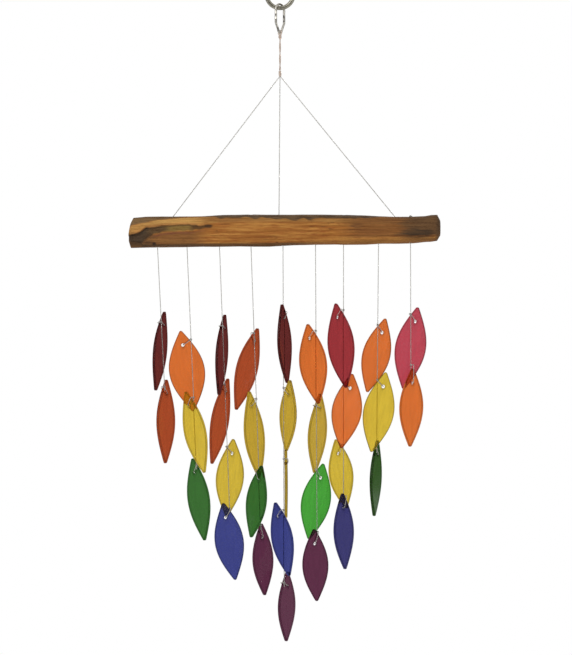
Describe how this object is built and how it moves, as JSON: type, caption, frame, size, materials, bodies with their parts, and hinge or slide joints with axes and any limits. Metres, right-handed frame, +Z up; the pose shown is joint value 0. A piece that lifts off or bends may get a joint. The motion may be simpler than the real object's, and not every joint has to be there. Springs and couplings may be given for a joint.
{
  "type": "glass leaf wind chime",
  "caption": "Hanging wind chime: drilled coloured glass leaves tied on strings under a driftwood bar, with bridle cords, a wire link and a hanging ring.",
  "frame": {"origin": "centre of the hanging ring's eye", "axes": "+Z up, +X along the bar to the right, +Y away from the viewer through the ring's eye"},
  "size_m": [0.311, 0.0453, 0.6628],
  "materials": {
    "ring_steel": "satin",
    "link_wire": "bright",
    "stem_cord": "twisted cord",
    "string_cord": "thin cord",
    "driftwood": "weathered, unvarnished",
    "glass_maroon": "polished, ground edge",
    "glass_brick": "polished, ground edge",
    "glass_orange": "polished, ground edge",
    "glass_yellow": "polished, ground edge",
    "glass_mustard": "polished, ground edge",
    "glass_green": "polished, ground edge",
    "glass_bright_green": "polished, ground edge",
    "glass_dark_green": "polished, ground edge",
    "glass_blue": "polished, ground edge",
    "glass_navy": "polished, ground edge",
    "glass_purple": "polished, ground edge",
    "glass_rose": "polished, ground edge",
    "glass_crimson": "polished, ground edge"
  },
  "bodies": {
    "hang_ring": {"hang_ring": "ring_steel"},
    "link": {"link": "link_wire"},
    "stem": {"stem": "stem_cord"},
    "bar": {"driftwood_bar": "driftwood", "string_anchors": "string_cord", "crown_knot": "stem_cord", "bridle_left": "string_cord", "bridle_centre": "string_cord", "bridle_right": "string_cord"},
    "string_1": {"string_1": "string_cord"},
    "string_2": {"string_2": "string_cord"},
    "string_3": {"string_3": "string_cord"},
    "string_4": {"string_4": "string_cord"},
    "string_5": {"string_5": "string_cord"},
    "string_6": {"string_6": "string_cord"},
    "string_7": {"string_7": "string_cord"},
    "string_8": {"string_8": "string_cord"},
    "string_9": {"string_9": "string_cord"},
    "leaf_1a": {"leaf_1a": "glass_maroon"},
    "leaf_1b": {"leaf_1b": "glass_brick"},
    "leaf_2a": {"leaf_2a": "glass_orange"},
    "leaf_2b": {"leaf_2b": "glass_yellow"},
    "leaf_2c": {"leaf_2c": "glass_green"},
    "leaf_3a": {"leaf_3a": "glass_maroon"},
    "leaf_3b": {"leaf_3b": "glass_brick"},
    "leaf_3c": {"leaf_3c": "glass_yellow"},
    "leaf_3d": {"leaf_3d": "glass_blue"},
    "leaf_4a": {"leaf_4a": "glass_brick"},
    "leaf_4b": {"leaf_4b": "glass_mustard"},
    "leaf_4c": {"leaf_4c": "glass_green"},
    "leaf_4d": {"leaf_4d": "glass_purple"},
    "leaf_5a": {"leaf_5a": "glass_maroon"},
    "leaf_5b": {"leaf_5b": "glass_mustard"},
    "leaf_5c": {"leaf_5c": "glass_mustard"},
    "leaf_5d": {"leaf_5d": "glass_blue"},
    "leaf_5e": {"leaf_5e": "glass_purple"},
    "leaf_6a": {"leaf_6a": "glass_orange"},
    "leaf_6b": {"leaf_6b": "glass_mustard"},
    "leaf_6c": {"leaf_6c": "glass_bright_green"},
    "leaf_6d": {"leaf_6d": "glass_purple"},
    "leaf_7a": {"leaf_7a": "glass_crimson"},
    "leaf_7b": {"leaf_7b": "glass_orange"},
    "leaf_7c": {"leaf_7c": "glass_yellow"},
    "leaf_7d": {"leaf_7d": "glass_navy"},
    "leaf_8a": {"leaf_8a": "glass_orange"},
    "leaf_8b": {"leaf_8b": "glass_yellow"},
    "leaf_8c": {"leaf_8c": "glass_dark_green"},
    "leaf_9a": {"leaf_9a": "glass_rose"},
    "leaf_9b": {"leaf_9b": "glass_orange"}
  },
  "joints": [
    {"name": "link_swing", "type": "hinge", "parent": "hang_ring", "child": "link", "pos_m": [0, 0, -0.0132], "axis": [1, 0, 0], "range_deg": [-30, 30]},
    {"name": "stem_swing", "type": "hinge", "parent": "link", "child": "stem", "pos_m": [0, 0, -0.03803], "axis": [0.6561, 0.7547, 0], "range_deg": [-30, 30]},
    {"name": "bar_turn", "type": "hinge", "parent": "stem", "child": "bar", "pos_m": [0, 0, -0.07883], "axis": [0, 0, 1], "range_deg": [-150, 150]},
    {"name": "string_1_sway", "type": "hinge", "parent": "bar", "child": "string_1", "pos_m": [-0.1225, 0, -0.2523], "axis": [1, 0, 0], "range_deg": [-20, 20]},
    {"name": "string_2_sway", "type": "hinge", "parent": "bar", "child": "string_2", "pos_m": [-0.093, 0, -0.25179], "axis": [1, 0, 0], "range_deg": [-20, 20]},
    {"name": "string_3_sway", "type": "hinge", "parent": "bar", "child": "string_3", "pos_m": [-0.0605, 0, -0.25153], "axis": [1, 0, 0], "range_deg": [-20, 20]},
    {"name": "string_4_sway", "type": "hinge", "parent": "bar", "child": "string_4", "pos_m": [-0.029, 0, -0.25127], "axis": [1, 0, 0], "range_deg": [-20, 20]},
    {"name": "string_5_sway", "type": "hinge", "parent": "bar", "child": "string_5", "pos_m": [0.003, 0, -0.25059], "axis": [1, 0, 0], "range_deg": [-20, 20]},
    {"name": "string_6_sway", "type": "hinge", "parent": "bar", "child": "string_6", "pos_m": [0.0355, 0, -0.24984], "axis": [1, 0, 0], "range_deg": [-20, 20]},
    {"name": "string_7_sway", "type": "hinge", "parent": "bar", "child": "string_7", "pos_m": [0.0635, 0, -0.24907], "axis": [1, 0, 0], "range_deg": [-20, 20]},
    {"name": "string_8_sway", "type": "hinge", "parent": "bar", "child": "string_8", "pos_m": [0.0985, 0, -0.24846], "axis": [1, 0, 0], "range_deg": [-20, 20]},
    {"name": "string_9_sway", "type": "hinge", "parent": "bar", "child": "string_9", "pos_m": [0.1305, 0, -0.24725], "axis": [1, 0, 0], "range_deg": [-20, 20]},
    {"name": "leaf_1a_swing", "type": "hinge", "parent": "string_1", "child": "leaf_1a", "pos_m": [-0.11743, 0.00813, -0.33055], "axis": [0.393, 0.8388, -0.3768], "range_deg": [0, 15]},
    {"name": "leaf_1b_swing", "type": "hinge", "parent": "string_1", "child": "leaf_1b", "pos_m": [-0.11416, 0.00658, -0.39938], "axis": [0.3424, 0.5723, -0.7452], "range_deg": [0, 12]},
    {"name": "leaf_2a_swing", "type": "hinge", "parent": "string_2", "child": "leaf_2a", "pos_m": [-0.09721, 0.00205, -0.35018], "axis": [0.8041, 0.0199, 0.5941], "range_deg": [0, 20]},
    {"name": "leaf_2b_swing", "type": "hinge", "parent": "string_2", "child": "leaf_2b", "pos_m": [-0.09105, 0.00162, -0.41085], "axis": [-0.3277, 0.3531, -0.8763], "range_deg": [0, 15]},
    {"name": "leaf_2c_swing", "type": "hinge", "parent": "string_2", "child": "leaf_2c", "pos_m": [-0.08544, 0.00586, -0.47818], "axis": [0.3852, -0.4504, 0.8055], "range_deg": [0, 10]},
    {"name": "leaf_3a_swing", "type": "hinge", "parent": "string_3", "child": "leaf_3a", "pos_m": [-0.05644, 0.00837, -0.33377], "axis": [0.3659, 0.8749, -0.3174], "range_deg": [0, 12]},
    {"name": "leaf_3b_swing", "type": "hinge", "parent": "string_3", "child": "leaf_3b", "pos_m": [-0.05473, 0.00474, -0.3975], "axis": [0.2783, 0.407, -0.87], "range_deg": [0, 4]},
    {"name": "leaf_3c_swing", "type": "hinge", "parent": "string_3", "child": "leaf_3c", "pos_m": [-0.0481, 0.00498, -0.45886], "axis": [0.5974, 0.3055, -0.7415], "range_deg": [0, 6]},
    {"name": "leaf_3d_swing", "type": "hinge", "parent": "string_3", "child": "leaf_3d", "pos_m": [-0.05442, -0.00402, -0.52222], "axis": [-0.4856, -0.1885, -0.8536], "range_deg": [0, 12]},
    {"name": "leaf_4a_swing", "type": "hinge", "parent": "string_4", "child": "leaf_4a", "pos_m": [-0.02596, 0.00433, -0.3472], "axis": [0.1822, 0.2952, -0.9379], "range_deg": [0, 10]},
    {"name": "leaf_4b_swing", "type": "hinge", "parent": "string_4", "child": "leaf_4b", "pos_m": [-0.02905, -0.00278, -0.4108], "axis": [0.4176, 0.4906, 0.7648], "range_deg": [0, 12]},
    {"name": "leaf_4c_swing", "type": "hinge", "parent": "string_4", "child": "leaf_4c", "pos_m": [-0.02039, -0.0048, -0.48463], "axis": [-0.245, 0.3189, 0.9156], "range_deg": [0, 12]},
    {"name": "leaf_4d_swing", "type": "hinge", "parent": "string_4", "child": "leaf_4d", "pos_m": [-0.01809, 0.00422, -0.5435], "axis": [0.2133, 0.1997, -0.9564], "range_deg": [0, 10]},
    {"name": "leaf_5a_swing", "type": "hinge", "parent": "string_5", "child": "leaf_5a", "pos_m": [0.00291, -0.00732, -0.3239], "axis": [-0.2537, -0.6672, -0.7003], "range_deg": [0, 6]},
    {"name": "leaf_5b_swing", "type": "hinge", "parent": "string_5", "child": "leaf_5b", "pos_m": [0.00921, -0.00454, -0.3995], "axis": [0.3983, -0.61, -0.685], "range_deg": [0, 15]},
    {"name": "leaf_5c_swing", "type": "hinge", "parent": "string_5", "child": "leaf_5c", "pos_m": [0.00578, 0.00834, -0.46929], "axis": [0.027, -0.8452, 0.5337], "range_deg": [0, 12]},
    {"name": "leaf_5d_swing", "type": "hinge", "parent": "string_5", "child": "leaf_5d", "pos_m": [-0.00204, 0.00262, -0.52199], "axis": [-0.4715, 0.4611, -0.7517], "range_deg": [0, 15]},
    {"name": "leaf_5e_swing", "type": "hinge", "parent": "string_5", "child": "leaf_5e", "pos_m": [0.00701, 0.00886, -0.59189], "axis": [0.4893, 0.7808, -0.3885], "range_deg": [0, 20]},
    {"name": "leaf_6a_swing", "type": "hinge", "parent": "string_6", "child": "leaf_6a", "pos_m": [0.02971, 0.00159, -0.34348], "axis": [-0.499, 0.3518, -0.7919], "range_deg": [0, 15]},
    {"name": "leaf_6b_swing", "type": "hinge", "parent": "string_6", "child": "leaf_6b", "pos_m": [0.03943, 0.0088, -0.41351], "axis": [0.528, 0.7946, -0.2996], "range_deg": [0, 12]},
    {"name": "leaf_6c_swing", "type": "hinge", "parent": "string_6", "child": "leaf_6c", "pos_m": [0.04052, 0.00428, -0.48331], "axis": [0.4641, 0.2127, -0.8598], "range_deg": [0, 12]},
    {"name": "leaf_6d_swing", "type": "hinge", "parent": "string_6", "child": "leaf_6d", "pos_m": [0.03453, -0.00364, -0.54849], "axis": [-0.2781, -0.126, -0.9523], "range_deg": [0, 12]},
    {"name": "leaf_7a_swing", "type": "hinge", "parent": "string_7", "child": "leaf_7a", "pos_m": [0.05757, 0.0003, -0.32257], "axis": [-0.4933, 0.23, -0.8389], "range_deg": [0, 14]},
    {"name": "leaf_7b_swing", "type": "hinge", "parent": "string_7", "child": "leaf_7b", "pos_m": [0.07001, -0.0052, -0.39323], "axis": [-0.7577, 0.318, 0.5699], "range_deg": [0, 20]},
    {"name": "leaf_7c_swing", "type": "hinge", "parent": "string_7", "child": "leaf_7c", "pos_m": [0.05799, -0.00029, -0.4586], "axis": [0.4336, 0.2256, 0.8724], "range_deg": [0, 12]},
    {"name": "leaf_7d_swing", "type": "hinge", "parent": "string_7", "child": "leaf_7d", "pos_m": [0.06283, -0.00419, -0.51277], "axis": [-0.1949, -0.2164, -0.9567], "range_deg": [0, 12]},
    {"name": "leaf_8a_swing", "type": "hinge", "parent": "string_8", "child": "leaf_8a", "pos_m": [0.10206, 0.00396, -0.33777], "axis": [0.5137, 0.1835, -0.8381], "range_deg": [0, 20]},
    {"name": "leaf_8b_swing", "type": "hinge", "parent": "string_8", "child": "leaf_8b", "pos_m": [0.10315, -0.00349, -0.39166], "axis": [-0.6728, 0.1324, 0.7279], "range_deg": [0, 20]},
    {"name": "leaf_8c_swing", "type": "hinge", "parent": "string_8", "child": "leaf_8c", "pos_m": [0.09706, 0.00716, -0.4602], "axis": [0.2699, 0.6826, -0.6792], "range_deg": [0, 20]},
    {"name": "leaf_9a_swing", "type": "hinge", "parent": "string_9", "child": "leaf_9a", "pos_m": [0.13539, 0.00453, -0.32675], "axis": [0.5632, 0.2457, -0.7889], "range_deg": [0, 20]},
    {"name": "leaf_9b_swing", "type": "hinge", "parent": "string_9", "child": "leaf_9b", "pos_m": [0.13209, -0.00206, -0.38825], "axis": [0.0144, 0.014, 0.9998], "range_deg": [0, 12]}
  ]
}
